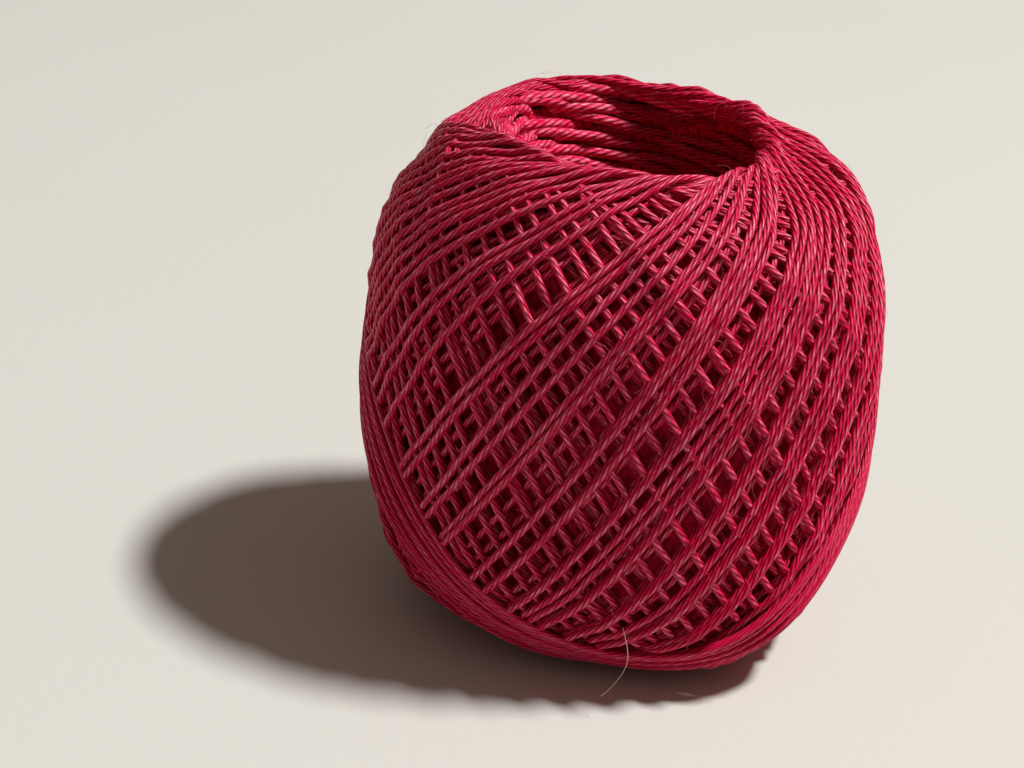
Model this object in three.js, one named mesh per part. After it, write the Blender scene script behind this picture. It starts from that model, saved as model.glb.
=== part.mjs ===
// A ball of two-ply thread, cross-wound on a spindle and slipped off it: one wound solid with a
// funnel-ended hole through its middle. Millimetres, +Z up. The origin is on the surface that the
// ball stands on, under its middle, and -Y is the side with the evenly spaced rising threads.

import * as THREE from 'three';

// Driving dimensions of the wound form
const SIDE_RADIUS = 22; // largest radius, half way up
const ROUND_HEIGHT = 43.5; // from crest to crest, before its own weight flattens the lower one
const CREST_RADIUS = 13; // the two crests are rings round the ends of the hole
const HOLE_RADIUS = 8; // where the spindle was
const HOLE_STRAIGHT = 20; // length of the hole between its two funnels
const SIDE_FULLNESS = 1.6; // power of the section's width: larger is rounder at the side
const END_FULLNESS = 0.565; // power of the section's height: smaller is squarer at the ends
const LEAN = 0.026; // sideways shift for each millimetre of height: the ball stands a little askew

// Driving dimensions of the winding
const THREAD = 0.64; // thickness of the thread
const RISE_ANGLE = 52; // degrees from level at which the threads cross the middle of the side
const LOOP_SQUARENESS = 0.05; // how straight a thread runs before it bends round a crest
const GROOVE_DEPTH = 0.75; // how far the threads below show between two ribbons
const FLAT_FROM = -67.5; // degrees along a loop: below this the lower crest is pressed flat

// The last few turns were laid at a flatter angle, as one close band over the ribbons. It is lowest
// at the front and highest at the back. Its two edges are loops of their own.
// lowestAt: degrees round from +X; reach: how far from the middle of the side it goes
const BAND_EDGES = {
  upper: { lowestAt: -85, reach: 17.5 },
  lower: { lowestAt: -93, reach: 22 },
};
const BAND_RISE = 0.3; // how far the band stands above the ribbons that it covers
const BAND_SOFTNESS = 1.2; // width over which its edges rise

// The ribbons of the last half round of winding, from the ball's left side round its front to its
// right. The other half repeats them, because every loop passes each place once on either side.
// at: degrees round from the left side, where the ribbon crosses the middle of the ball's side
// threads: how many threads lie side by side in it
const RIBBONS = [
  { at: 4, threads: 2 },
  { at: 11, threads: 1 },
  { at: 24.5, threads: 2 },
  { at: 36, threads: 1 },
  { at: 41, threads: 1 },
  { at: 48, threads: 3 },
  { at: 60, threads: 1 },
  { at: 66, threads: 1 },
  { at: 73.5, threads: 1 },
  { at: 82, threads: 3 },
  { at: 97, threads: 1 },
  { at: 108.5, threads: 2 },
  { at: 122, threads: 1 },
  { at: 130, threads: 2 },
  { at: 139, threads: 1 },
  { at: 148, threads: 2 },
  { at: 158, threads: 1 },
  { at: 168, threads: 2 },
];
const LEFT_SIDE = -160; // degrees round from +X at which the ribbons are counted from

// How finely the form is divided
const SIDE_ROWS = 24; // from crest to crest up the side
const FUNNEL_TURNS = 4; // ridges of earlier turns down each funnel
const FUNNEL_FLARE = 0.6; // power of the funnel's section: smaller opens faster towards the crest
const FUNNEL_SPACING = 1.4; // power of its row spacing: the rows lie closer near the crest
const PROFILE_STEPS = 400;

const HALF_HEIGHT = ROUND_HEIGHT / 2;
const FUNNEL_DEPTH = HALF_HEIGHT - HOLE_STRAIGHT / 2;
const QUARTER = 90; // a loop rises from the middle of the side to a crest in a quarter turn
const radians = THREE.MathUtils.degToRad;

// The section's side from the middle up to a crest, as points with their length along the section.
function sideSection() {
  const points = [];
  for (let step = 0; step <= PROFILE_STEPS; step += 1) {
    const angle = (step / PROFILE_STEPS) * (Math.PI / 2);
    const across = Math.max(Math.cos(angle), 0) ** SIDE_FULLNESS;
    const r = CREST_RADIUS + (SIDE_RADIUS - CREST_RADIUS) * across;
    const z = HALF_HEIGHT * Math.sin(angle) ** END_FULLNESS;
    const last = points.at(-1);
    const along = last ? last.along + Math.hypot(r - last.r, z - last.z) : 0;
    points.push({ r, z, along });
  }
  return points;
}

// The point of the section at a signed length from the middle, with the way that it faces there.
function sectionAt(section, along) {
  const length = Math.abs(along);
  let index = section.findIndex((point) => point.along >= length - 1e-9);
  index = Math.max(index, 1);
  const [from, to] = [section[index - 1], section[index]];
  const span = to.along - from.along;
  const share = (length - from.along) / span;
  const r = THREE.MathUtils.lerp(from.r, to.r, share);
  const z = THREE.MathUtils.lerp(from.z, to.z, share);
  const side = Math.sign(along);
  const facing = { r: (to.z - from.z) / span, z: (side * (from.r - to.r)) / span };
  return { r, z: side * z, facing };
}

// How far up its section a loop has climbed, as a share, at an angle along the loop.
function loopShare(degrees) {
  const angle = radians(degrees);
  return (1 + LOOP_SQUARENESS) * Math.sin(angle) + LOOP_SQUARENESS * Math.sin(3 * angle);
}

// Rows up the side. Each is turned with the threads, so that the ribbons follow the columns.
function sideRows() {
  const section = sideSection();
  const reach = section.at(-1).along;
  const rows = [];
  for (let row = 0; row <= SIDE_ROWS; row += 1) {
    const degrees = -QUARTER + (2 * QUARTER * row) / SIDE_ROWS;
    const along = reach * THREE.MathUtils.clamp(loopShare(degrees), -1, 1);
    const { r, z, facing } = sectionAt(section, along);
    const relief = 1 - (degrees / QUARTER) ** 4;
    rows.push({ r, z, along, facing, turn: degrees, relief });
  }
  const floor = sectionAt(section, reach * loopShare(FLAT_FROM)).z;
  for (const row of rows) row.z = Math.max(row.z, floor);
  return { rows, floor };
}

// Rows down the hole, from just inside the upper crest to just inside the lower one. Earlier turns
// stand out as ridges round each funnel.
function holeRows() {
  const funnel = [];
  for (let row = 1; row <= 2 * FUNNEL_TURNS; row += 1) {
    const share = (row / (2 * FUNNEL_TURNS)) ** FUNNEL_SPACING;
    const between = row % 2 === 0 && share < 1;
    const r = CREST_RADIUS - (CREST_RADIUS - HOLE_RADIUS) * share ** FUNNEL_FLARE;
    funnel.push({ r: between ? r + THREAD / 2 : r, z: HALF_HEIGHT - FUNNEL_DEPTH * share });
  }
  const lower = funnel.map(({ r, z }) => ({ r, z: -z })).reverse();
  return [...funnel, ...lower].map((row) => ({ ...row, turn: QUARTER, relief: 0 }));
}

// How much of a place on the side the last band covers, from 0 to 1.
function bandCover(along, degrees) {
  const edge = ({ lowestAt, reach }) => -reach * Math.cos(radians(degrees - lowestAt));
  const [low, high] = [edge(BAND_EDGES.lower), edge(BAND_EDGES.upper)].sort((a, b) => a - b);
  const inside = Math.min(along - low, high - along);
  return THREE.MathUtils.smoothstep(inside, -BAND_SOFTNESS / 2, BAND_SOFTNESS / 2);
}

// Columns round the ball: the two edges of each ribbon, and the groove after it.
function columns() {
  const threadDegrees = THREE.MathUtils.radToDeg(THREAD / Math.sin(radians(RISE_ANGLE)) / SIDE_RADIUS);
  const half = RIBBONS.flatMap(({ at, threads }, index) => {
    const next = RIBBONS[(index + 1) % RIBBONS.length];
    const nextAt = index + 1 < RIBBONS.length ? next.at : next.at + 180;
    const edge = at + (threads * threadDegrees) / 2;
    const nextEdge = nextAt - (next.threads * threadDegrees) / 2;
    return [
      { at: at - (threads * threadDegrees) / 2, sunk: 0 },
      { at: edge, sunk: 0 },
      { at: (edge + nextEdge) / 2, sunk: 1 },
    ];
  });
  return [...half, ...half.map((column) => ({ ...column, at: column.at + 180 }))];
}

// One closed skin: up the side, over the upper crest, down the hole and out again at the lower crest.
function woundForm() {
  const { rows, floor } = sideRows();
  const grid = [...rows, ...holeRows()];
  const round = columns();
  const positions = grid.flatMap(({ r, z, along, facing, turn, relief }) =>
    round.flatMap(({ at, sunk }) => {
      const degrees = LEFT_SIDE + at + turn;
      let [radius, height] = [r, z];
      if (relief > 0) {
        const cover = bandCover(along, degrees);
        const rise = relief * (cover * BAND_RISE - (1 - cover) * sunk * GROOVE_DEPTH);
        radius += rise * facing.r;
        height = Math.max(z + rise * facing.z, floor);
      }
      const x = radius * Math.cos(radians(degrees)) - LEAN * height;
      return [x, radius * Math.sin(radians(degrees)), height - floor];
    }),
  );

  const count = round.length;
  const faces = [];
  for (let row = 0; row < grid.length; row += 1) {
    // The loops turn half round between the two crests, so the hole's last row meets the first row
    // of the side half the columns further on.
    const closing = row === grid.length - 1;
    const above = closing ? 0 : row + 1;
    const shift = closing ? count / 2 : 0;
    for (let column = 0; column < count; column += 1) {
      const next = (column + 1) % count;
      const a = row * count + column;
      const b = row * count + next;
      const c = above * count + ((next + shift) % count);
      const d = above * count + ((column + shift) % count);
      faces.push(a, b, d, b, c, d);
    }
  }

  const geometry = new THREE.BufferGeometry();
  geometry.setAttribute('position', new THREE.Float32BufferAttribute(positions, 3));
  geometry.setIndex(faces);
  geometry.computeVertexNormals();
  return geometry;
}

const cotton = new THREE.MeshStandardMaterial({ color: 0xa81f42, roughness: 0.55, metalness: 0 });
const threadBall = new THREE.Mesh(woundForm(), cotton);
threadBall.name = 'thread_ball';

const ball = new THREE.Group();
ball.add(threadBall);

export default ball;
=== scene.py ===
# %% [markdown]
# # A ball of crimson thread
# The object is one long thread, wound crosswise on a spindle and slipped off it. Its look is nothing
# but that thread: loops that climb from the lower rim of the hole to the upper one, fall again, and
# lie over earlier loops. A bump map could fake the crossings, but their deep gaps show dark, so this
# lesson winds the ball again. A small simulation lays the thread turn by turn over a height field,
# and a Geometry Nodes tree sweeps a thread along the path that comes out.

# %% The frame and the sizes of the wound form
import math

import bpy
import numpy as np
from mathutils import Matrix, Vector


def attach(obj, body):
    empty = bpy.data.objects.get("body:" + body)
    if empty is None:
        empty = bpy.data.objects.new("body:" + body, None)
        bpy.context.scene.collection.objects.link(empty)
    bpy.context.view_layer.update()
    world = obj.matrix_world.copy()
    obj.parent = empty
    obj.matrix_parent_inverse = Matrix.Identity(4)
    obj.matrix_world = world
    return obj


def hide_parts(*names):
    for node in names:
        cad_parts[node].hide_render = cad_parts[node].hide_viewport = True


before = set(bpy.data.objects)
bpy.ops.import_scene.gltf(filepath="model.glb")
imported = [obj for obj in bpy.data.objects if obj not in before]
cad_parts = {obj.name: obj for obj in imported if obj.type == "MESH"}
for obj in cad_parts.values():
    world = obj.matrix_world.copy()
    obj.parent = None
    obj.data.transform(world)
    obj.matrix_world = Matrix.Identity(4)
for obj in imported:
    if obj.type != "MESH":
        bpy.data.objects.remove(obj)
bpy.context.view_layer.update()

MM = 0.001  # the sizes below are in millimetres, and Blender works in metres
SIDE_RADIUS = 22.0  # largest radius, half way up
HALF_HEIGHT = 21.75  # from the middle to a crest, before the lower one is pressed flat
CREST_RADIUS = 13.0  # the crests are rings round the two ends of the hole
HOLE_RADIUS = 8.0
SIDE_FULLNESS, END_FULLNESS = 1.6, 0.565  # powers that round the section at its side and its ends
LEAN = 0.026  # sideways shift for each millimetre of height
MIDDLE = 21.27  # height of the middle above the floor
THREAD = 0.64  # thickness of the thread
PLIES = 5
LAY = 5.2  # length in which the plies turn once round each other

# %% [markdown]
# ## Camera
# The photograph was taken from close by, a little above the ball. The numbers come from fitting the
# outline of a barrel of this size to the photograph. A rotation matrix states the view directly: its
# columns are the camera's right, up and backward directions.

# %% The camera
LENS_PIXELS, IMAGE_WIDTH, SENSOR = 2600, 1024, 36
CAMERA_FROM_MIDDLE = Vector((-9.19, -206.27, 84.58)) * MM
PITCH, ROLL = math.radians(22.917), math.radians(6.53)

forward = Vector((0, math.cos(PITCH), -math.sin(PITCH)))
level, upright = Vector((1, 0, 0)), Vector((0, math.sin(PITCH), math.cos(PITCH)))
right = level * math.cos(ROLL) + upright * math.sin(ROLL)
up = upright * math.cos(ROLL) - level * math.sin(ROLL)

camera_data = bpy.data.cameras.new("camera")
camera_data.sensor_width = SENSOR
camera_data.lens = LENS_PIXELS / IMAGE_WIDTH * SENSOR
camera_data.clip_start, camera_data.clip_end = 0.01, 10
camera = bpy.data.objects.new("camera", camera_data)
place = Matrix((right, up, -forward)).transposed().to_4x4()
place.translation = CAMERA_FROM_MIDDLE + Vector((0, 0, MIDDLE * MM))
camera.matrix_world = place
bpy.context.scene.collection.objects.link(camera)
bpy.context.scene.camera = camera
print("camera at", [round(value, 4) for value in place.translation])

# %% [markdown]
# ## Nodes as expressions
# Both shaders and Geometry Nodes are graphs, and long graphs read badly as lists of links. This small
# class wraps one socket. Arithmetic on it adds Math nodes, and its method `node` adds any other node,
# so that the trees below can be written as formulas.


# %% The socket wrapper
class Wire:
    def __init__(self, tree, socket=None):
        self.tree, self.socket = tree, socket

    def node(self, kind, settings=None, values=None, out=0):
        made = self.tree.nodes.new(kind)
        for name, value in (settings or {}).items():
            setattr(made, name, value)
        for key, value in (values or {}).items():
            if isinstance(value, Wire):
                self.tree.links.new(value.socket, made.inputs[key])
            else:
                made.inputs[key].default_value = value
        return Wire(self.tree, made.outputs[out])

    def math(self, operation, *values):
        return self.node("ShaderNodeMath", {"operation": operation}, dict(enumerate(values)))

    def __add__(self, other):
        return self.math("ADD", self, other)

    __radd__ = __add__

    def __sub__(self, other):
        return self.math("SUBTRACT", self, other)

    def __rsub__(self, other):
        return self.math("SUBTRACT", other, self)

    def __mul__(self, other):
        return self.math("MULTIPLY", self, other)

    __rmul__ = __mul__

    def __truediv__(self, other):
        return self.math("DIVIDE", self, other)

    def __gt__(self, other):
        return self.math("GREATER_THAN", self, other)

    def __lt__(self, other):
        return self.math("LESS_THAN", self, other)


def srgb(red, green, blue):
    """A screen colour, from 0 to 255, as the linear colour that shaders want."""
    parts = [value / 255 for value in (red, green, blue)]
    return tuple(v / 12.92 if v <= 0.04045 else ((v + 0.055) / 1.055) ** 2.4 for v in parts) + (1.0,)


def new_material(name):
    """A material with an empty Principled shader, and a wire to start its graph from."""
    material = bpy.data.materials.new(name)
    material.use_nodes = True
    return material, Wire(material.node_tree), material.node_tree.nodes["Principled BSDF"]


def blend(graph, share, first, second):
    """A Mix node that goes from one colour to another."""
    return graph.node("ShaderNodeMix", {"data_type": "RGBA"}, {0: share, 6: first, 7: second}, out=2)


print("crimson as a linear colour", [round(value, 3) for value in srgb(186, 22, 58)])

# %% [markdown]
# ## Floor and light
# The ball stands on a pale, slightly uneven table top. One lamp on the right gives the long shadow on
# the left and the shine on the right shoulder. It is an ellipse, wider than high, so the long edges of
# the shadow are softer than its far end. A weak warm sky fills the shadow.

# %% Floor, lamp and sky
FLOOR_SIZE = 3.0
LAMP_FROM = Vector((0.700, 0.067, 1.340))
LAMP_WIDTH, LAMP_HEIGHT, LAMP_POWER = 0.30, 0.14, 32.0
LAMP_COLOUR = (1.0, 0.99, 0.968)
SKY, SKY_TINT = 0.182, (1.0, 0.79, 0.66, 1)

bpy.context.scene.view_settings.view_transform = "Standard"

floor_material, graph, floor_shader = new_material("table_top")
where = graph.node("ShaderNodeTexCoord", out=3)
speckle = graph.node("ShaderNodeTexNoise", values={"Vector": where, "Scale": 900.0, "Detail": 4.0})
broad = graph.node("ShaderNodeTexNoise", values={"Vector": where, "Scale": 9.0, "Detail": 2.0})
tone = blend(graph, broad, srgb(196, 196, 190), srgb(201, 201, 196))
bump = graph.node("ShaderNodeBump", values={"Height": speckle, "Strength": 0.08, "Distance": 0.0004})
material_tree = floor_material.node_tree
material_tree.links.new(tone.socket, floor_shader.inputs["Base Color"])
material_tree.links.new(bump.socket, floor_shader.inputs["Normal"])
floor_shader.inputs["Roughness"].default_value = 0.5

half = FLOOR_SIZE / 2
corners = [(-half, -half, 0), (half, -half, 0), (half, half, 0), (-half, half, 0)]
floor_mesh = bpy.data.meshes.new("floor")
floor_mesh.from_pydata(corners, [], [(0, 1, 2, 3)])
floor_mesh.materials.append(floor_material)
floor = bpy.data.objects.new("floor", floor_mesh)
bpy.context.scene.collection.objects.link(floor)

lamp_data = bpy.data.lights.new("lamp", "AREA")
lamp_data.shape, lamp_data.energy = "ELLIPSE", LAMP_POWER
lamp_data.size, lamp_data.size_y = LAMP_WIDTH, LAMP_HEIGHT
lamp_data.color = LAMP_COLOUR
lamp = bpy.data.objects.new("lamp", lamp_data)
lamp.location = LAMP_FROM
lamp.rotation_euler = (Vector((0, 0, MIDDLE * MM)) - LAMP_FROM).to_track_quat("-Z", "Y").to_euler()
bpy.context.scene.collection.objects.link(lamp)

sky = bpy.data.worlds.new("sky")
sky.use_nodes = True
sky.node_tree.nodes["Background"].inputs["Color"].default_value = SKY_TINT
sky.node_tree.nodes["Background"].inputs["Strength"].default_value = SKY
bpy.context.scene.world = sky
print("lamp", LAMP_POWER, "W from", tuple(LAMP_FROM))

# %% [markdown]
# ## The thread's finish
# The thread is five plies of lustrous cotton, loosely twisted together. Its colour is one dye, with
# painted shade in the grooves between the plies, and pale fibres as streaks along the thread. The
# fibres are brightest, as painted highlights, on the tops of the plies and on the open side. The sweep
# below gives every piece a UV map named `thread_map`: u counts turns of the twist, and v goes round the
# thread. The plies wind, so theirs is the angle u + v. The fibres run along the thread. The plies are
# much finer than the thread is thick, so a bump draws them. An attribute named `outward` says how far a
# spot faces away from the ball's middle. The open side of a thread gets a paler painted sheen, and its
# sides and the threads below get more of the groove colour, as painted shade.

# %% The cotton
# groove is painted shade in the grooves, ply is the dye, fibre is the pale fibres and painted highlights
DYE_AND_PAINTED_LIGHT = {
    "groove": srgb(182, 0, 51),
    "ply": srgb(224, 8, 76),
    "fibre": srgb(255, 166, 198),
}


STREAKS = {"Scale": 2.7, "Detail": 2.5, "Roughness": 0.65}
PLY_HEIGHT = 0.00012  # metres


def mixed_palette(shade, relief):
    """The three colours, lighter or darker, with less difference where the relief is low."""
    palette = {}
    for key, colour in DYE_AND_PAINTED_LIGHT.items():
        palette[key] = tuple(min(value * shade, 1) for value in colour[:3]) + (1,)
    palette["groove"] = tuple(p + (g - p) * relief for p, g in zip(palette["ply"], palette["groove"]))
    return palette


def cotton(name, shade=1.0, relief=1.0, least_painted_light=0.0):
    """The thread's finish. A high last argument puts painted sheen all round, with less painted shade."""
    palette = mixed_palette(shade, relief)
    material, graph, shader = new_material(name)
    spot = graph.node("ShaderNodeUVMap", {"uv_map": "thread_map"})
    turn = graph.node("ShaderNodeSeparateXYZ", values={0: spot})
    round_ = Wire(graph.tree, turn.socket.node.outputs[1])
    loop = graph.node("ShaderNodeAttribute", {"attribute_name": "turn"}, out=2)
    angle = round_ * (2 * math.pi)
    across = graph.node(
        "ShaderNodeCombineXYZ",
        values={0: angle.math("COSINE", angle), 1: angle.math("SINE", angle), 2: turn * 1.5 + loop * 7.3},
    )
    streak = graph.node("ShaderNodeTexNoise", values={"Vector": across, **STREAKS})
    lobe = (round_ + turn) * (math.pi * PLIES)
    swing = lobe.math("COSINE", lobe)
    ply = swing.math("ABSOLUTE", swing)  # 1 on top of a ply, 0 in the groove between two
    top = ply * ply
    slow = {"W": loop * 3.1 + turn * 0.04, "Scale": 1.0}
    patch = graph.node("ShaderNodeTexNoise", {"noise_dimensions": "1D"}, slow)
    outward = graph.node("ShaderNodeAttribute", {"attribute_name": "outward"}, out=2)
    outward = outward.math("MAXIMUM", outward, least_painted_light)
    open_side = outward * outward  # 1 on the side of a thread that faces away from the ball

    # painted shade: the grooves, and the sides of a thread that face in, take the darker groove colour
    dye_with_painted_shade = blend(graph, top * (open_side * 0.4 + 0.6), palette["groove"], palette["ply"])
    # painted sheen: the side of a thread that faces out is paler, as if lit from outside
    painted_sheen = open_side * open_side * (top * 0.7 + 0.3)
    # pale fibres, strongest on the tops of the plies and on the open side as painted highlights
    fibres_and_highlights = (streak - 0.5) * 3.4 * top * relief * (open_side * 0.7 + 0.3)
    # the share of the pale colour: painted highlights and sheen, and a slow random change of tone
    shine = fibres_and_highlights + (patch - 0.5) * 0.1 + painted_sheen * 0.29
    colour = blend(graph, shine.node("ShaderNodeClamp", values={0: shine}), dye_with_painted_shade, palette["fibre"])
    relief_values = {"Height": streak * 0.25 + ply, "Strength": 1.0, "Distance": PLY_HEIGHT * relief}
    bump = graph.node("ShaderNodeBump", values=relief_values)
    lustre = top * (streak - 0.4) * 1.8  # only the tops of the plies are polished
    lustre = lustre.node("ShaderNodeClamp", values={0: lustre})
    tree = material.node_tree
    tree.links.new(colour.socket, shader.inputs["Base Color"])
    tree.links.new((0.56 - streak * 0.3).socket, shader.inputs["Roughness"])
    tree.links.new(bump.socket, shader.inputs["Normal"])
    tree.links.new(lustre.socket, shader.inputs["Coat Weight"])
    shader.inputs["Coat Roughness"].default_value = 0.4
    shader.inputs["Coat IOR"].default_value = 1.5
    shader.inputs["Specular IOR Level"].default_value = 0.1
    shader.inputs["Sheen Weight"].default_value = 0.04
    shader.inputs["Sheen Roughness"].default_value = 0.4
    shader.inputs["Sheen Tint"].default_value = srgb(255, 140, 165)
    return material


thread_finish = cotton("crimson_cotton")
print("thread finish with", len(thread_finish.node_tree.nodes), "nodes")

# %% [markdown]
# ## The wound form
# A thread needs something to lie on. The form's section is drawn once as a curve: up the side to the
# crest, over a rounded lip and down the funnel. Every place on the ball is then an azimuth, a length
# along this section from the middle of the side, and a height above the surface.

# %% The section of the form
LIP_RADIUS = 2.0
FUNNEL_SLOPE = math.radians(72)


def draw_section():
    share = np.linspace(0, 1, 4000) ** 2 * math.pi / 2
    r = CREST_RADIUS + (SIDE_RADIUS - CREST_RADIUS) * np.cos(share).clip(0) ** SIDE_FULLNESS
    z = HALF_HEIGHT * np.sin(share) ** END_FULLNESS
    over = np.linspace(0, FUNNEL_SLOPE, 200)[1:]
    r = np.append(r, CREST_RADIUS - LIP_RADIUS * np.sin(over))
    z = np.append(z, HALF_HEIGHT - LIP_RADIUS * (1 - np.cos(over)))
    down = np.linspace(0, 1, 200)[1:] * (r[-1] - HOLE_RADIUS) / math.cos(FUNNEL_SLOPE)
    r = np.append(r, r[-1] - down * math.cos(FUNNEL_SLOPE))
    z = np.append(z, z[-1] - down * math.sin(FUNNEL_SLOPE))
    length = np.append(0, np.cumsum(np.hypot(np.diff(r), np.diff(z))))
    even = np.linspace(0, length[-1], 1500)
    r, z = np.interp(even, length, r), np.interp(even, length, z)
    r, z, even = np.append(r[:0:-1], r), np.append(-z[:0:-1], z), np.append(-even[:0:-1], even)
    return {"s": even, "r": r, "z": z, "nr": np.gradient(z, even), "nz": -np.gradient(r, even)}


SECTION = draw_section()
REACH = SECTION["s"][np.argmax(SECTION["z"])]  # length along the section from the middle to a crest


def on_section(name, s):
    return np.interp(s, SECTION["s"], SECTION[name])


def ramp(value, start, end):
    share = ((value - start) / (end - start)).clip(0, 1)
    return share * share * (3 - 2 * share)


def out_of_true(x, y, z):
    """The ball is not quite round: it is fuller in places, and on the right its rim reaches further in."""
    azimuth, r = np.arctan2(y, x), np.hypot(x, y)

    def towards(degrees, narrowness):
        return np.cos(azimuth - math.radians(degrees)).clip(0) ** narrowness

    on_top = ramp(z, 8, 19) * ramp(r, 8, 11)
    shoulder = towards(20, 2) * on_top
    back = towards(105, 2) * on_top
    rim = towards(0, 2) * ramp(z, 15, 21.5) * ramp(-r, -17.5, -13)
    left = towards(180, 2) * ramp(z, -8, 2) * ramp(-z, -20, -12)
    right = towards(0, 4) * ramp(z, 0, 8) * ramp(-z, -20, -14)
    lower = towards(-50, 6) * ramp(-z, 7, 17)
    lower_front = towards(-84, 12) * ramp(-z, 12, 18)
    lower_left = towards(-140, 3) * ramp(-z, 3, 14)
    r = r + 1.2 * lower - 2.2 * rim + 0.25 * left + 0.15 * right + 0.5 * lower_left - 0.3 * lower_front
    z = z + 0.8 * (shoulder - lower) + 0.35 * back + 0.3 * lower_front - 0.2 * lower_left
    return r * np.cos(azimuth), r * np.sin(azimuth), z


def settle(x, y, z):
    """Points about the ball's middle, leaned, pressed flat below and lifted onto the floor, in metres."""
    x, y, z = out_of_true(x, y, z)
    pressed_from, pressed_to = 19.6, MIDDLE - 0.02
    share = ((-z - pressed_from) / (HALF_HEIGHT + 0.45 - pressed_from)).clip(0, 1.2)
    z = np.where(share > 0, -pressed_from - share * (pressed_to - pressed_from), z)
    return np.stack([x - LEAN * z, y, (z + MIDDLE).clip(THREAD / 2)], -1) * MM


def on_ball(azimuth, s, h):
    r = on_section("r", s) + on_section("nr", s) * h
    z = on_section("z", s) + on_section("nz", s) * h
    return settle(r * np.cos(azimuth), r * np.sin(azimuth), z)


print("from the middle to a crest:", round(float(REACH), 2), "mm along the section")

# %% [markdown]
# ## The plan of the winding
# One loop of thread climbs from the lower crest to the upper one in half a turn round the ball, and
# falls back in the other half. The next loop starts a few degrees further on. Four half rounds of loops
# are enough, because nothing shows through more than four layers. The loops on top are placed from the
# photograph, where they lie in single threads, pairs and threes. A few last loops were laid flatter, as
# a band that binds the rest.

# %% The loops
SQUARENESS = 0.05  # how straight a loop runs before it bends round a crest
LAW_REACH = 25.3
TURN_ALL = 1.7  # degrees added to every place below

# Rising threads on the front: degrees round the ball at which each passes four heights, less what the
# plain loop law gives for that height. On the right, some lie on the thread before them in the lower
# half and part from it above, where the photograph shows the threads fan out below the rim.
HEIGHTS = (-12.0, 0.0, 12.0, 20.0)
PLAIN_RISING = (-236, -230.5, -224, -217.5, -211, -205, -199, -195.5, -190.5, -185)
RISING = (
    *((degrees,) * len(HEIGHTS) for degrees in PLAIN_RISING),
    (-179.5, -180.5, -182, -181), (-176, -177, -178.5, -177), (-170, -171.5, -174, -172.5),
    (-167, -168, -171, -167.5), (-160, -160.2, -160.6, -160), (-154, -155, -158, -156.7),
    (-147, -147.9, -150.5, -150.4), (-134.5, -135.6, -134.8, -134.5), (-132, -132.5, -132.5, -131.8),
    (-122, -123.4, -127, -128.4), (-119.5, -120, -121.7, -123.5), (-112.5, -113.1, -116, -118),
    (-110.7, -111.3, -114.3, -116), (-98.1, -99.7, -103.7, -108.4), (-98, -99.6, -102, -106.2),
    (-92.7, -94.5, -100.5, -104), (-92.6, -94.4, -98.6, -101.6), (-83.4, -85.8, -87, -91.5),
    (-83.3, -85.7, -85.2, -89.8), (-78.6, -80.9, -82.2, -88), (-76.1, -78.4, -78.8, -85),
    (-72.2, -75.2, -76.5, -82), (-72.1, -75.1, -74.6, -79.5), (-62.7, -63.1, -68, -73.5),
    (-62.6, -63.0, -66, -70.5), (-55, -53.1, -58, -63), (-52, -50.4, -54, -60.5),
    (-51.9, -50.3, -52, -57.5), (-40.6, -37.7, -42, -48), (-40.5, -37.6, -40, -45),
    (-28, -26, -30, -36), (-24, -22, -26, -32), (-16, -15, -19, -24), (-9, -8, -12, -17), (-4, -4, -6, -10),
)  # fmt: skip
# Falling threads that cross under them, and rising threads under those: degrees round at the middle
FALLING = (
    -178, -171, -165, -157, -149, -147, -142, -135, -128.8, -122, -115.8, -108.8, -101.3, -95.3, -88,
    -81.2, -75.8, -68.2, -61.5, -55.5,
)  # fmt: skip
THIRD = (
    -176, -170, -165.5, -159, -153, -150.5, -144.5, -140, -134, -128, -122, -117, -109, -104.5, -96.8,
    -90.5, -83, -78, -72, -67, -60, -56, -46, -43, -33, -26, -19, -12, -6,
)  # fmt: skip
# The binding band: mean reach of its loops, degrees round at which they rise, and their number
BAND_REACH, BAND_RISE, BAND_LOOPS = 19.9, 0.35, 9
BAND_SPACING, BAND_GAP, BAND_SQUARENESS = 0.58, 0.3, -0.08  # its loops lie in threes
FOURTH = 40  # loops in the lowest layer


def loop_share(angle, squareness=SQUARENESS):
    return (1 + squareness) * np.sin(angle) + squareness * np.sin(3 * angle)


def plan_loops(chance):
    loops = []

    def add(layer, spread, low=0.0, top=0.0, **facts):
        low = REACH + low + chance.normal(0, spread)
        top = REACH + top + chance.normal(0, spread)
        loops.append({"layer": layer, "low": low, "top": top, **facts})

    steps = np.cumsum(chance.uniform(4.2, 8.6, FOURTH))
    for degrees in steps / steps[-1] * 178:
        add("fourth", 1.4, -3.0, -3.0, rise=degrees)
    for degrees in THIRD:
        further = 2.0 * math.cos(math.radians(degrees + 80)) + 0.3
        add("third", 0.7, -1.0, further, rise=degrees + TURN_ALL)
    for degrees in reversed(FALLING):
        # those that cross the front reach further over the rim
        at_front = abs(degrees + 90) < 60
        further = 1.6 * math.cos(math.radians(degrees + 90)) ** 2 if at_front else 0.4
        add("falling", 0.25, 0.1, further, fall=degrees + TURN_ALL)
    for index, (low, middle, high, top) in enumerate(RISING):
        round_right = math.cos(math.radians(middle + 80))
        further = 1.2 + (1.2 if round_right > 0 else 0.8) * round_right
        stray = (low - middle, 0, high - middle, top - middle)
        add("rising", 0.3, 0.2, further, rise=middle + TURN_ALL, stray=stray, starts=index == 0)
    for index in range(BAND_LOOPS):
        shift = BAND_REACH - REACH
        beside = (index - (BAND_LOOPS - 1) / 2) * BAND_SPACING + (index // 3 - 1) * BAND_GAP
        add("band", 0.0, shift - beside, shift + beside, rise=BAND_RISE, squareness=BAND_SQUARENESS)
    return loops


LOOPS = plan_loops(np.random.default_rng(5))
print(len(LOOPS), "loops")

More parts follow.
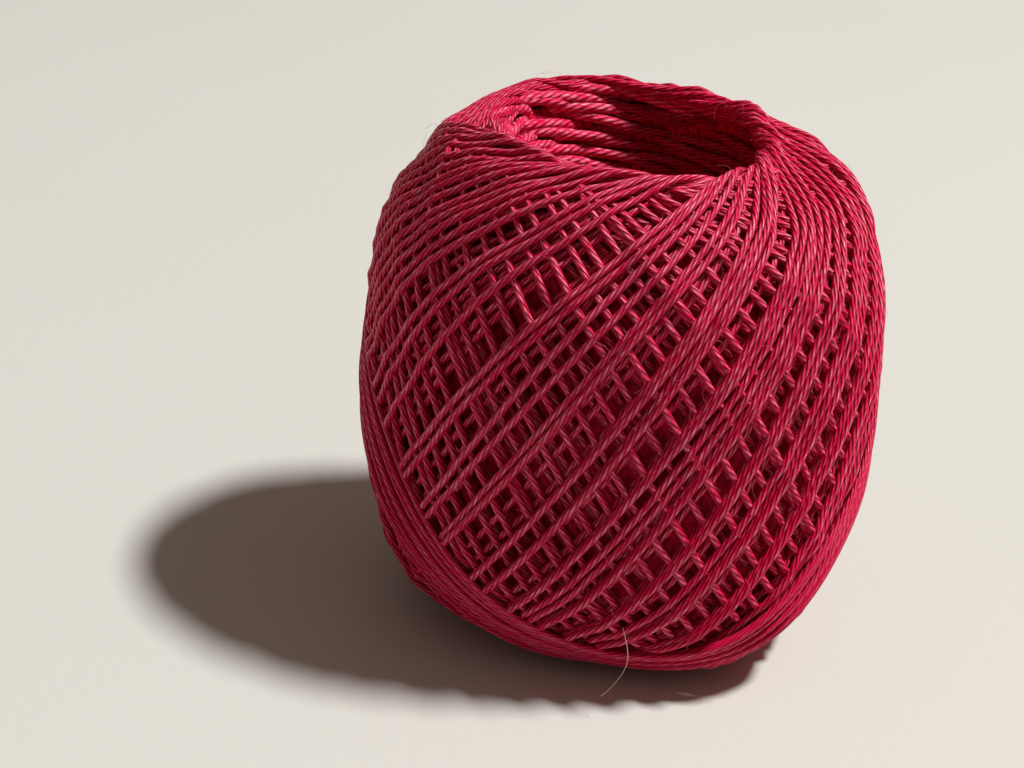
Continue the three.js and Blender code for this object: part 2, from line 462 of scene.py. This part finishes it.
# %% [markdown]
# ## The paths of the loops
# Each loop is sampled as azimuth and length along the section. The thread is one length, so a loop ends
# where the next one starts: between its rise, its fall and the next rise the azimuth eases over from one
# stated place to the next.

# %% Azimuth and height of every loop
STEP = 0.14  # distance between two points of a path


def smooth(values, width, mode="edge", **more):
    weights = np.hanning(2 * width + 3)[1:-1]
    return np.convolve(np.pad(values, width, mode=mode, **more), weights / weights.sum(), "valid")


def ends_there(loops, index):
    """True if the next loop doesn't go on from this one."""
    return index + 1 == len(loops) or loops[index + 1].get("starts", False)


def crossings(loops):
    """Degrees, always growing, at which each loop rises and falls through the middle of the side."""
    stated = []
    for loop in loops:
        degrees = loop["rise"] if "rise" in loop else loop["fall"] + 180
        while stated and degrees < stated[-1] - 20 and not loop.get("starts"):
            degrees += 360
        stated.append(degrees)
    stated = np.array(stated, float)
    rise, fall = stated.copy(), stated.copy()
    for index, loop in enumerate(loops):
        if "rise" in loop:
            after = stated[index] + 1 if ends_there(loops, index) else stated[index + 1]
            fall[index] = (stated[index] + after) / 2
        else:
            rise[index] = (stated[index] + stated[max(index - 1, 0)]) / 2
    return rise, fall


def stray_from_law(degrees, s, stray):
    """How far a rising thread lies from the plain law, as stated at the four heights."""
    law = np.radians(np.linspace(-90, 90, 2001))
    by_law = np.degrees(np.interp(np.array(HEIGHTS) / LAW_REACH, loop_share(law).clip(-1, 1), law))
    going_up = (degrees > -90) & (degrees < 90)
    own = np.interp(HEIGHTS, np.maximum.accumulate(s[going_up]), degrees[going_up])
    wanted = np.array(stray) + by_law - own
    knots = [-90, *own, 100, 150]
    values = [wanted[0] * 0.5, *wanted, wanted[-1] * 0.6, 0]
    return smooth(np.interp(degrees, knots, values), 130)


def band_spread(azimuth):
    """The band's loops lie apart on the left of the ball, and crowd over each other on the right."""
    return 0.68 - 0.45 * np.cos(azimuth).clip(-1, 0)


def band_sag(azimuth):
    """On the right and on the lower left the band hangs lower."""
    lower_left = np.cos(azimuth + math.radians(120)).clip(0) ** 4
    return 1.6 * np.cos(azimuth + math.radians(25)).clip(0) ** 2 + 0.4 * lower_left


def loop_paths(loops):
    rise, fall = crossings(loops)
    paths = []
    for index, loop in enumerate(loops):
        last = ends_there(loops, index)
        fell = fall[index - 1] if index and not loop.get("starts") else rise[index]
        rises = fall[index] if last else rise[index + 1]
        degrees = np.linspace(-90, 270, 2400)
        angle = np.radians(degrees)
        low = np.where(degrees < 90, loop["low"], loop["low"] if last else loops[index + 1]["low"])
        share = loop_share(angle, loop.get("squareness", SQUARENESS))
        reach, shift = (loop["top"] + low) / 2, (loop["top"] - low) / 2
        if loop["layer"] == "band":  # its loops keep their distance where they run steeply too
            slope = reach * np.gradient(share, angle) / on_section("r", reach * share)
            shift = shift * np.hypot(1, slope) * band_spread(angle) - band_sag(angle)
        s = reach * share + shift
        knots = [-90, -50, 50, 130, 230, 270]
        before, after = (fell + rise[index]) / 2, (fall[index] + rises) / 2
        values = [before, rise[index], rise[index], fall[index], fall[index], after]
        phase = np.interp(degrees, knots, values)
        if "stray" in loop:
            phase = phase + stray_from_law(degrees, s, loop["stray"])
        phase = smooth(phase, 120, "reflect", reflect_type="odd")
        azimuth = np.radians(phase) + angle
        length = np.append(0, np.cumsum(np.hypot(np.diff(s), on_section("r", s)[:-1] * np.diff(azimuth))))
        even = np.linspace(0, length[-1], int(length[-1] / STEP) + 1)
        paths.append((np.interp(even, length, azimuth), np.interp(even, length, s)))
    return paths


PATHS = loop_paths(LOOPS)
print("thread in these loops:", round(sum(len(s) for _, s in PATHS) * STEP / 1000, 1), "m")

# %% [markdown]
# ## Winding the ball
# The height field is a fine grid over the form, and says how high the threads so far reach at each place.
# A new loop first slides a little sideways to lower ground near the crests, where threads crowd. It then
# takes the lowest height that keeps it above the field, and is pulled taut, so that it runs straight
# between the threads that carry it. Then its own top is added to the field.

# %% The height field and one thread laid on it
CELL = 0.12
GROUND = 2.1  # depth of the field's floor below the finished surface
SQUEEZE = 0.8  # threads that cross press each other this flat
TAUT_PASSES = 140
SLIDES = np.linspace(-0.3, 0.3, 7)
SIDES = np.linspace(-0.95, 0.95, 9)


class Field:
    def __init__(self):
        self.span = REACH + 2.4
        self.rows, self.columns = int(2 * self.span / CELL) + 1, int(2 * math.pi * SIDE_RADIUS / CELL)
        self.height = np.full((self.rows, self.columns), -GROUND)

    def cells(self, azimuth, s):
        row = np.clip(((s + self.span) / CELL + 0.5).astype(int), 0, self.rows - 1)
        return row, (azimuth / (2 * math.pi) * self.columns).astype(int) % self.columns

    def support(self, path, sideways):
        """The height that a thread's middle needs where it lies this far to the side of a path."""
        need = np.full(len(path["s"]), -9.0)
        for side in SIDES:
            cells = self.cells(*beside(path, sideways + side * THREAD / 2))
            need = np.maximum(need, self.height[cells] + SQUEEZE * THREAD / 2 * math.sqrt(1 - side * side))
        return need

    def add(self, path, height):
        for side in SIDES:
            cells = self.cells(*beside(path, side * THREAD / 2))
            top = height + SQUEEZE * THREAD / 2 * math.sqrt(1 - side * side)
            np.maximum.at(self.height, cells, top)


def directed(azimuth, s):
    """A path with its direction at each point, as shares round the ball and up the section."""
    r = on_section("r", s)
    across, along = np.gradient(azimuth) * r, np.gradient(s)
    length = np.hypot(across, along)
    return {"azimuth": azimuth, "s": s, "r": r, "across": across / length, "along": along / length}


def beside(path, sideways):
    return path["azimuth"] - sideways * path["along"] / path["r"], path["s"] + sideways * path["across"]


def slide(field, path):
    """Sideways shifts that take a thread to lower ground, found as the cheapest way along the path."""
    up = np.abs(path["s"])
    crowd = ramp(up, 15, 19) * ramp(-up, -22.5, -20)
    stiffness = 1.2 + 30 * (1 - crowd)
    cost = np.array([smooth(field.support(path, shift), 4) for shift in SLIDES])
    cost = cost + stiffness * SLIDES[:, None] ** 2
    total, came = cost[:, 0].copy(), np.zeros(cost.shape, np.int8)
    change = 0.07
    for point in range(1, cost.shape[1]):
        options = np.stack([total, np.append(total[1:], 1e9) + change, np.append(1e9, total[:-1]) + change])
        came[:, point] = np.array([0, 1, -1])[options.argmin(0)]
        total = options.min(0) + cost[:, point]
    choice = np.empty(cost.shape[1], int)
    choice[-1] = len(SLIDES) // 2
    for point in range(len(choice) - 1, 0, -1):
        choice[point - 1] = choice[point] + came[choice[point], point]
    ends = np.minimum(np.arange(len(choice)), np.arange(len(choice))[::-1]) / 20
    return smooth(SLIDES[choice], 36) * ends.clip(0, 1)


def lay(field, azimuth, s, start):
    path = directed(azimuth, s)
    path = directed(*beside(path, slide(field, path)))
    need = field.support(path, 0.0)
    height = need.copy()
    if start is not None:
        height[0] = start
    bend = STEP**2 / (2 * SIDE_RADIUS)
    for _ in range(TAUT_PASSES):
        height[1:-1] = np.maximum(need[1:-1], (height[:-2] + height[2:]) / 2 - bend)
    return path, height


print("field cells of", CELL, "mm")

# %% The winding itself
TAIL = 12  # the end of a loop joins the field when the next loop has gone on from it
field = Field()
LAID, tail = [], None
for loop, (azimuth, s) in zip(LOOPS, PATHS):
    if loop["layer"] == "band":
        continue
    path, height = lay(field, azimuth, s, LAID[-1][2][-1] if LAID and not loop.get("starts") else None)
    if tail:
        field.add(*tail)
    field.add({key: values[:-TAIL] for key, values in path.items()}, height[:-TAIL])
    tail = ({key: values[-TAIL:] for key, values in path.items()}, height[-TAIL:])
    LAID.append((path["azimuth"], path["s"], height))
print(len(LAID), "loops laid, the highest", round(float(field.height.max()), 2), "mm above the form")

# %% [markdown]
# ## An even surface
# The threads pile up more at the crests than at the side, and more in some places than in others. On the
# real ball the pile packs down. Each height is therefore scaled by what the pile reaches thereabouts, so
# that the finished surface is the form's own. The band of last turns then presses in what it lies on.

# %% The pile, packed down
PILE = 2.2
BAND_PRESS = 0.5  # the band is tight, and presses in what it lies on
AROUND = 12  # cells
row_s = np.arange(field.rows) * CELL - field.span
reached = field.height + GROUND
on_side = ((20 - np.abs(row_s)) / 5).clip(0, 1) * np.percentile(reached, 92, axis=1)
for axis in (0, 1):
    reached = np.max([np.roll(reached, shift, axis) for shift in range(-AROUND, AROUND + 1)], axis=0)
reached = np.apply_along_axis(smooth, 0, np.maximum(reached, on_side[:, None]), AROUND)
reached = np.apply_along_axis(smooth, 1, reached, AROUND, "wrap")


def under_band(azimuth, s):
    """How hard the band presses: 1 on what it covers, more at the bottom and right, and 0 elsewhere."""
    angle = azimuth - math.radians(BAND_RISE)
    middle = BAND_REACH * loop_share(angle, BAND_SQUARENESS) - band_sag(angle)
    climb = (1 + BAND_SQUARENESS) * np.cos(angle) + 3 * BAND_SQUARENESS * np.cos(3 * angle)
    slope = BAND_REACH * climb / 21
    apart = np.abs(s - middle) / np.hypot(1, slope)
    half = ((BAND_LOOPS - 1) * BAND_SPACING / 2 + BAND_GAP) * band_spread(angle)
    below = ramp(-s, 19.5, 21.5) * ramp(np.cos(azimuth + math.radians(70)), -0.2, 0.2)
    right = ramp(middle - s, 0.0, 1.5) * ramp(np.cos(azimuth + math.radians(5)), 0.6, 0.85)
    return np.max([ramp(-apart, -half - 0.45, 0.25 - half), 2 * below, 1.4 * right], axis=0)


def finished_height(azimuth, s, height):
    height = (height + GROUND) * PILE / reached[field.cells(azimuth, s)] - PILE
    return smooth(height, 4) - BAND_PRESS * under_band(azimuth, s)


print("pile before scaling:", round(float(reached.min()), 2), "to", round(float(reached.max()), 2), "mm")

# %% [markdown]
# ## From path to thread
# A Geometry Nodes tree turns the paths into thread. It makes each path a curve and sweeps a round section
# along it, a little thinner near the crests, where the threads crowd. For the finish it writes the
# attribute `outward`, from the way that each point of the skin faces, and the UV map `thread_map`. In a
# second UV map the thread lies in strips beside each other, for baking.

# %% The sweep
STRIP = 0.075  # metres of thread in one strip of the baking map


def sweep_tree():
    tree = bpy.data.node_groups.new("thread_sweep", "GeometryNodeTree")
    for name, kind in (
        ("Paths", "Geometry"),
        ("Thickness", "Float"),
        ("Squeeze", "Float"),
        ("Lay", "Float"),
        ("Sides", "Int"),
        ("Strips", "Float"),
        ("Finish", "Material"),
    ):
        tree.interface.new_socket(name, in_out="INPUT", socket_type="NodeSocket" + kind)
    tree.interface.new_socket("Thread", in_out="OUTPUT", socket_type="NodeSocketGeometry")
    graph = Wire(tree)
    given = tree.nodes.new("NodeGroupInput").outputs
    given = {socket.name: Wire(tree, socket) for socket in given if socket.name}

    def attribute(name):
        return graph.node("GeometryNodeInputNamedAttribute", {"data_type": "FLOAT"}, {"Name": name})

    def store(geometry, name, value, kind="FLOAT", domain="POINT"):
        settings = {"data_type": kind, "domain": domain}
        values = {"Geometry": geometry, "Name": name, "Value": value}
        return graph.node("GeometryNodeStoreNamedAttribute", settings, values)

    def on_face(value):
        settings = {"data_type": "FLOAT", "domain": "FACE"}
        return graph.node("GeometryNodeFieldOnDomain", settings, {0: value})

    circle = {"Resolution": given["Sides"], "Radius": given["Thickness"] * 0.5}
    ring = graph.node("GeometryNodeCurvePrimitiveCircle", values=circle)
    ring = store(ring, "around", graph.node("GeometryNodeSplineParameter"))
    curve = graph.node("GeometryNodeMeshToCurve", values={"Mesh": given["Paths"]})
    place = graph.node("GeometryNodeInputPosition")
    away = graph.node("ShaderNodeSeparateXYZ", values={0: place}, out=2) - MIDDLE * MM
    crowded = {"Value": away.math("ABSOLUTE", away), 1: 14 * MM, 2: 20.5 * MM, 4: 1 - given["Squeeze"]}
    crowded = graph.node("ShaderNodeMapRange", {"interpolation_type": "SMOOTHSTEP"}, {**crowded, 3: 1.0})
    swept = {"Curve": curve, "Profile Curve": ring, "Scale": crowded, "Fill Caps": True}
    thread = graph.node("GeometryNodeCurveToMesh", values=swept)

    between = {0: graph.node("GeometryNodeInputPosition"), 1: (0, 0, MIDDLE * MM)}
    from_middle = graph.node("ShaderNodeVectorMath", {"operation": "SUBTRACT"}, between)
    from_middle = graph.node("ShaderNodeVectorMath", {"operation": "NORMALIZE"}, {0: from_middle})
    faces = {0: graph.node("GeometryNodeInputNormal"), 1: from_middle}
    outward = graph.node("ShaderNodeVectorMath", {"operation": "DOT_PRODUCT"}, faces, out=1)
    thread = store(thread, "outward", outward)

    around = attribute("around")
    apart = around - on_face(around)
    v = around + (apart < -0.25)  # the last face round the thread ends at 1, not at 0
    u = attribute("along") / given["Lay"]
    turns = graph.node("ShaderNodeCombineXYZ", values={0: u, 1: v})
    thread = store(thread, "thread_map", turns, "FLOAT2", "CORNER")
    run = attribute("run") / STRIP
    strip = on_face(run).math("FLOOR", on_face(run))
    flat = graph.node(
        "ShaderNodeCombineXYZ",
        values={0: (run - strip) * 0.98 + 0.01, 1: (strip + 0.06 + v * 0.88) / given["Strips"]},
    )
    thread = store(thread, "OFBake", flat, "FLOAT2", "CORNER")
    thread = graph.node("GeometryNodeSetShadeSmooth", values={0: thread})
    thread = graph.node("GeometryNodeRealizeInstances", values={0: thread})
    thread = graph.node("GeometryNodeSetMaterial", values={"Geometry": thread, "Material": given["Finish"]})
    end = tree.nodes.new("NodeGroupOutput")
    tree.links.new(thread.socket, end.inputs[0])
    return tree


SWEEP = sweep_tree()
print("sweep with", len(SWEEP.nodes), "nodes")


# %% From a tree to a plain piece
def evaluated(name, mesh, tree, inputs):
    """Runs a tree on a mesh and returns the plain mesh object that comes out."""
    holder = bpy.data.objects.new(name, mesh)
    bpy.context.scene.collection.objects.link(holder)
    modifier = holder.modifiers.new("nodes", "NODES")
    modifier.node_group = tree
    items = tree.interface.items_tree
    identifiers = {item.name: item.identifier for item in items if item.in_out == "INPUT"}
    for key, value in inputs.items():
        modifier[identifiers[key]] = value
    made = bpy.data.meshes.new_from_object(holder.evaluated_get(bpy.context.evaluated_depsgraph_get()))
    holder.modifiers.remove(modifier)
    holder.data = made
    made.name = name
    bpy.data.meshes.remove(mesh)
    return holder


def triangles(piece):
    return sum(len(polygon.vertices) - 2 for polygon in piece.data.polygons)


def belongs(piece):
    """Makes a piece move with the ball, and prints how many triangles it has."""
    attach(piece, "root")
    print(piece.name, "has", triangles(piece), "triangles")
    return piece


def thread_piece(name, lines, step, sides, first_turn=0, thickness=0.63, finish=thread_finish, squeeze=0.1):
    """Sweeps thread along lines of points in metres. All lines are one piece."""
    points, edges, along, run, turn = [], [], [], [], []
    count, total = 0, 0.0
    chance = np.random.default_rng(first_turn)
    for index, line in enumerate(lines):
        length = np.append(0, np.cumsum(np.linalg.norm(np.diff(line, axis=0), axis=1)))
        parts = max(int(length[-1] / (step * MM)), 3)
        even = np.linspace(0, length[-1], parts + 1)
        points.append(np.stack([np.interp(even, length, line[:, axis]) for axis in range(3)], -1))
        chain = np.arange(count, count + parts)
        edges.append(np.stack([chain, chain + 1], -1))
        run.append(even + total)
        uneven = np.cumsum(smooth(chance.normal(0, 1, parts + 1), 12)) * 0.16 * step * MM
        along.append(run[-1] + uneven)  # the twist is a little uneven
        turn.append(np.full(parts + 1, first_turn + index, float))
        count += parts + 1
        total += length[-1]
    points, edges = np.concatenate(points), np.concatenate(edges)
    mesh = bpy.data.meshes.new(name)
    mesh.vertices.add(len(points))
    mesh.vertices.foreach_set("co", points.ravel())
    mesh.edges.add(len(edges))
    mesh.edges.foreach_set("vertices", edges.ravel())
    for title, values in (("along", along), ("run", run), ("turn", turn)):
        attribute = mesh.attributes.new(title, "FLOAT", "POINT")
        attribute.data.foreach_set("value", np.concatenate(values).astype(np.float32))
    mesh.update()
    inputs = {
        "Thickness": thickness * MM,
        "Squeeze": squeeze,
        "Lay": LAY * MM,
        "Sides": sides,
        "Strips": math.ceil(total / STRIP) + 0.0,
        "Finish": finish,
    }
    return belongs(evaluated(name, mesh, SWEEP, inputs))


print("a strip of the baking map holds", STRIP / MM, "mm of thread")

# %% [markdown]
# ## The layers of thread
# The loops of one layer follow each other, so each piece is one unbroken thread. All of them could be one
# mesh, but smaller pieces are easier to look at and to export. The lower a layer lies, the less of it
# shows, and the fewer faces it gets.

# %% The layers
# name, layer, first loop and the one after the last, millimetres between rings, sides of the section
LAYERS = (
    ("fourth_layer", "fourth", 0, None, 0.8, 6),
    ("third_layer", "third", 0, None, 0.5, 6),
    ("falling_layer_a", "falling", 0, 14, 0.35, 8),
    ("falling_layer_b", "falling", 14, None, 0.35, 8),
    ("rising_layer_a", "rising", 0, 14, 0.35, 8),
    ("rising_layer_b", "rising", 14, 26, 0.35, 8),
    ("rising_layer_c", "rising", 26, None, 0.35, 8),
)
for name, layer, first, end, step, sides in LAYERS:
    chosen = [index for index, loop in enumerate(LOOPS) if loop["layer"] == layer][first:end]
    lines = []
    for index in chosen:
        azimuth, s, height = LAID[index]
        lines.append(on_ball(azimuth, s, finished_height(azimuth, s, height)))
    whole = np.concatenate([lines[0], *(line[1:] for line in lines[1:])])
    piece = thread_piece(name, [whole], step, sides, chosen[0])
    if name == "rising_layer_a":
        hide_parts("thread_ball")

# %% [markdown]
# ## The binding band
# The last turns run flatter than the rest and hold them down. They lie side by side, so they need no
# laying over the height field. A slow random wander keeps them from looking machined, and where they
# crowd, every second one sinks a little. The end of the thread is tucked under at the back.

# %% The band
BAND_HEIGHT = -0.16
SHORT_OF_ROUND = math.radians(175)  # the last turn ends at the back
chosen = [index for index, loop in enumerate(LOOPS) if loop["layer"] == "band"]
azimuth = np.concatenate([PATHS[index][0] + 2 * math.pi * turn for turn, index in enumerate(chosen)])
s = np.concatenate([PATHS[index][1] for index in chosen])
kept = azimuth < azimuth[-1] - SHORT_OF_ROUND
azimuth, s = azimuth[kept], s[kept]
chance = np.random.default_rng(3)


def wander(count, width, size):
    """A slow random change along a thread."""
    waves = smooth(chance.normal(0, 1, count), width)
    return waves * size / waves.std()


path = directed(azimuth, s)
azimuth, s = beside(path, wander(len(s), 60, 0.09))
crowded = (1.13 - band_spread(azimuth)) / 0.45
loop_number = np.floor((azimuth - azimuth[0]) / (2 * math.pi))
depth = BAND_HEIGHT + wander(len(s), 80, 0.07) - 0.22 * crowded * smooth(loop_number % 2, 60)
ends = np.minimum(np.arange(len(s)), np.arange(len(s))[::-1]) / 30
depth = depth - 0.9 * (1 - ends.clip(0, 1)) ** 2
band_finish = cotton("band_cotton", 0.86, 0.6)
thread_piece("binding_band", [on_ball(azimuth, s, depth)], 0.35, 8, chosen[0], 0.52, band_finish, 0.0)

# %% [markdown]
# ## Down the funnel
# Each round of winding made the ball a little larger, and left its own ring of turns on the wall of the
# funnel. A ring is the crest of the same loops, made smaller about the middle of the ball. Only the part
# of each loop near its crest shows, so the rings are short arcs. On the side that the lamp reaches they
# get a lighter copy of the finish with painted sheen all round. On the other side, below the top two
# rings, a darker copy is painted shade.

# %% The rings of earlier turns
RINGS, ARCS = 16, 14
WALL_DOWN = 0.95  # how far down each ring lies from the one above it
ARC_HALF = math.radians(22)
RING_TURN = 2.4  # radians by which the arcs of a ring are turned on from those above
RING_THICKNESS, LOWER_THICKNESS = 0.95, 0.72
SHADED_FROM = 30  # degrees round: this side of the hole gets no light from the lamp


def wall_in(azimuth, level):
    """How far in a ring lies from the crest. The wall has a round lip, and is steepest right and back."""
    lip = 1.3 * (1 - np.exp(-level / 2))
    return lip + (0.14 - 0.24 * np.cos(azimuth - math.radians(40))) * level


def funnel_lines(side, chance):
    lines, shaded = [], []
    for ring in range(RINGS):
        for index in range(ARCS):
            top = 2 * math.pi * (index + chance.uniform(-0.4, 0.4)) / ARCS + RING_TURN * ring
            angle = np.linspace(-ARC_HALF, ARC_HALF, 20)
            level = ring + 1.1 + chance.normal(0, 0.25) - chance.uniform(-0.1, 1.2) * angle / ARC_HALF
            level = 0.8 + np.log1p(np.exp(3 * (level - 0.8))) / 3  # never above the crest
            s = REACH * loop_share(math.pi / 2 + angle)
            dip = (angle / ARC_HALF) ** 6  # the ends lie under other threads
            below_lip = ramp(level, 1.5, 4)
            r = on_section("r", s) - wall_in(top + angle, level) + dip * (0.3 + 0.3 * below_lip)
            z = (on_section("z", s) - WALL_DOWN * level - dip * 0.6 * (1 - below_lip)) * side
            # painted shade: below the top two rings, those on this side get the darker copy of the finish
            in_shade = ring > 1 and math.cos(top - math.radians(SHADED_FROM)) > 0.35
            x, y = r * np.cos(top + angle), r * np.sin(top + angle)
            (shaded if in_shade else lines).append(settle(x, y, z))
    return lines, shaded


chance = np.random.default_rng(11)
# a darker copy of the finish as painted shade, and a lighter one with painted sheen all round
shaded_finish = cotton("shaded_crimson_cotton", 0.65)
lit_ring_finish = cotton("lit_ring_cotton", 1.15, least_painted_light=0.85)
lit, shaded = funnel_lines(1, chance)
thread_piece("upper_funnel_rings", lit, 0.45, 6, 200, RING_THICKNESS, lit_ring_finish, 0.0)
thread_piece("upper_funnel_rings_in_shade", shaded, 0.5, 6, 400, LOWER_THICKNESS, shaded_finish, 0.0)
lit, shaded = funnel_lines(-1, chance)
thread_piece("lower_funnel_rings", lit + shaded, 0.7, 6, 600, LOWER_THICKNESS, squeeze=0.0)

# %% [markdown]
# ## The turns underneath
# Under the four layers and behind the rings lie the rest of the turns. Hardly any light gets there, so
# one closed body stands for them, with the criss-cross of threads as bump and colour.

# %% The inner turns
BODY_BELOW = 0.25
BODY_SIDES, SIDE_ROWS, WALL_ROWS, HOLE_ROWS = 120, 60, 20, 8


def body_profile(azimuth):
    """One section of the body: up the side, down the wall behind the rings, and on through the hole."""
    s = np.linspace(-REACH, REACH, SIDE_ROWS)
    depth = PILE + BODY_BELOW
    r = on_section("r", s) - on_section("nr", s) * depth
    z = on_section("z", s) - on_section("nz", s) * depth
    level = np.linspace(2.4, 16.6, WALL_ROWS)
    wall_r = CREST_RADIUS - wall_in(azimuth, level) + 0.5
    wall_z = HALF_HEIGHT - WALL_DOWN * level - 0.3
    straight = np.linspace(wall_z[-1] - 0.8, -wall_z[-1] + 0.8, HOLE_ROWS)
    r = np.concatenate([r, wall_r, np.full(HOLE_ROWS, wall_r[-1]), wall_r[::-1]])
    z = np.concatenate([z, wall_z, straight, -wall_z[::-1]])
    return r, z


def inner_turns():
    around = np.linspace(0, 2 * math.pi, BODY_SIDES, endpoint=False)
    profiles = [body_profile(azimuth) for azimuth in around]
    r, z = (np.array(values) for values in zip(*profiles))
    spots = settle(r * np.cos(around)[:, None], r * np.sin(around)[:, None], z)
    r, z = r[0], z[0]
    count = len(r)
    faces = []
    for column in range(BODY_SIDES):
        here, beyond = column * count, (column + 1) % BODY_SIDES * count
        for row in range(count):
            above = (row + 1) % count
            faces.append((here + row, beyond + row, beyond + above, here + above))
    mesh = bpy.data.meshes.new("inner_turns")
    mesh.from_pydata(spots.reshape(-1, 3).tolist(), [], faces)
    length = np.append(0, np.cumsum(np.hypot(np.diff(np.append(r, r[0])), np.diff(np.append(z, z[0])))))
    flat = []
    for column in range(BODY_SIDES):
        for row in range(count):
            for step, rise in ((0, 0), (1, 0), (1, 1), (0, 1)):
                flat.append(((column + step) / BODY_SIDES, length[row + rise] / length[-1]))
    mesh.uv_layers.new(name="section_map").data.foreach_set("uv", np.array(flat, np.float32).ravel())
    mesh.polygons.foreach_set("use_smooth", [True] * len(faces))
    return bpy.data.objects.new("inner_turns", mesh), length[-1], length[SIDE_ROWS] / length[-1]


inner, wrapped, side_share = inner_turns()
bpy.context.scene.collection.objects.link(inner)
print("section of the inner turns:", round(float(wrapped), 1), "mm round")

# %% The finish of the inner turns
shade_material, graph, shade = new_material("shaded_cotton")
spot = graph.node("ShaderNodeUVMap", {"uv_map": "section_map"})
round_ball = graph.node("ShaderNodeSeparateXYZ", values={0: spot})
up_section = Wire(graph.tree, round_ball.socket.node.outputs[1])
THREADS_ROUND, THREAD_SLOPE = 74, math.radians(52)
climb = up_section * (wrapped / (2 * math.pi * SIDE_RADIUS) / math.tan(THREAD_SLOPE))
ridges = []
for way in (1, -1):
    angle = (round_ball + climb * way) * (2 * math.pi * THREADS_ROUND)
    ridges.append(angle.math("COSINE", angle) * 0.5 + 0.5)
upper = ridges[0].math("MAXIMUM", ridges[0], ridges[1] * 0.7)
# painted shade: the colour is darker between the ridges, where the threads cross
tone = blend(graph, upper, srgb(185, 0, 44), srgb(232, 10, 74))
tone = blend(graph, up_section > side_share, tone, srgb(184, 4, 50))  # the wall of the hole is plainer
bump = graph.node("ShaderNodeBump", values={"Height": upper, "Strength": 1.0, "Distance": 0.0004})
tree = shade_material.node_tree
tree.links.new(tone.socket, shade.inputs["Base Color"])
tree.links.new(bump.socket, shade.inputs["Normal"])
shade.inputs["Roughness"].default_value = 0.7
shade.inputs["Specular IOR Level"].default_value = 0.1
inner.data.materials.append(shade_material)
belongs(inner)

# %% [markdown]
# ## Loose fibres
# Cotton is spun from short fibres, and some of their ends stand out from the thread as a faint fuzz.
# Each is a short bent line that starts on a thread of the upper layers. One long fibre has come loose and
# hangs down at the front. They are swept like the thread, only far thinner.

# %% The fuzz and one long fibre
FIBRES = 420
fuzz_material, _, fuzz = new_material("loose_cotton")
fuzz.inputs["Base Color"].default_value = srgb(226, 96, 132)
fuzz.inputs["Roughness"].default_value = 0.5
pale_material, _, pale = new_material("loose_fibre")
pale.inputs["Base Color"].default_value = srgb(226, 206, 196)
pale.inputs["Roughness"].default_value = 0.4


def fuzz_line(chance, azimuth, s, height):
    length, heading = chance.uniform(0.4, 1.9), chance.uniform(0, 2 * math.pi)
    curl, lift = chance.normal(0, 1.2), chance.uniform(0.1, 0.7)
    share = np.linspace(0, 1, 6)
    bearing = heading + curl * share
    azimuth = azimuth + np.cos(bearing) * share * length / on_section("r", s)
    s = s + np.sin(bearing) * share * length
    return on_ball(azimuth, s, height + THREAD * 0.4 + lift * length * share * (1 - 0.4 * share))


chance = np.random.default_rng(21)
shown = [index for index, loop in enumerate(LOOPS) if loop["layer"] in ("falling", "rising")]
lines = []
for index in chance.choice(shown, FIBRES):
    azimuth, s, height = LAID[index]
    place = chance.integers(50, len(s) - 50)
    height = finished_height(azimuth, s, height)
    lines.append(fuzz_line(chance, azimuth[place], s[place], height[place]))
thread_piece("fuzz", lines, 0.3, 3, 900, 0.022, fuzz_material, 0.0)

# from the front of the ball down towards the floor
LONG_FIBRE = (
    (1.8, -20.9, 7.7),
    (2.4, -22.1, 6.4),
    (2.6, -22.4, 5.3),
    (2.3, -22.6, 4.2),
    (1.3, -22.5, 2.4),
    (0.7, -22.3, 1.7),
)
share = np.linspace(0, len(LONG_FIBRE) - 1, 40)
axes = [np.interp(share, range(len(LONG_FIBRE)), axis) for axis in zip(*LONG_FIBRE)]
long_fibre = np.stack([smooth(axis, 5) for axis in axes], -1)
thread_piece("long_fibre", [long_fibre * MM], 0.25, 4, 1400, 0.05, pale_material, 0.0)
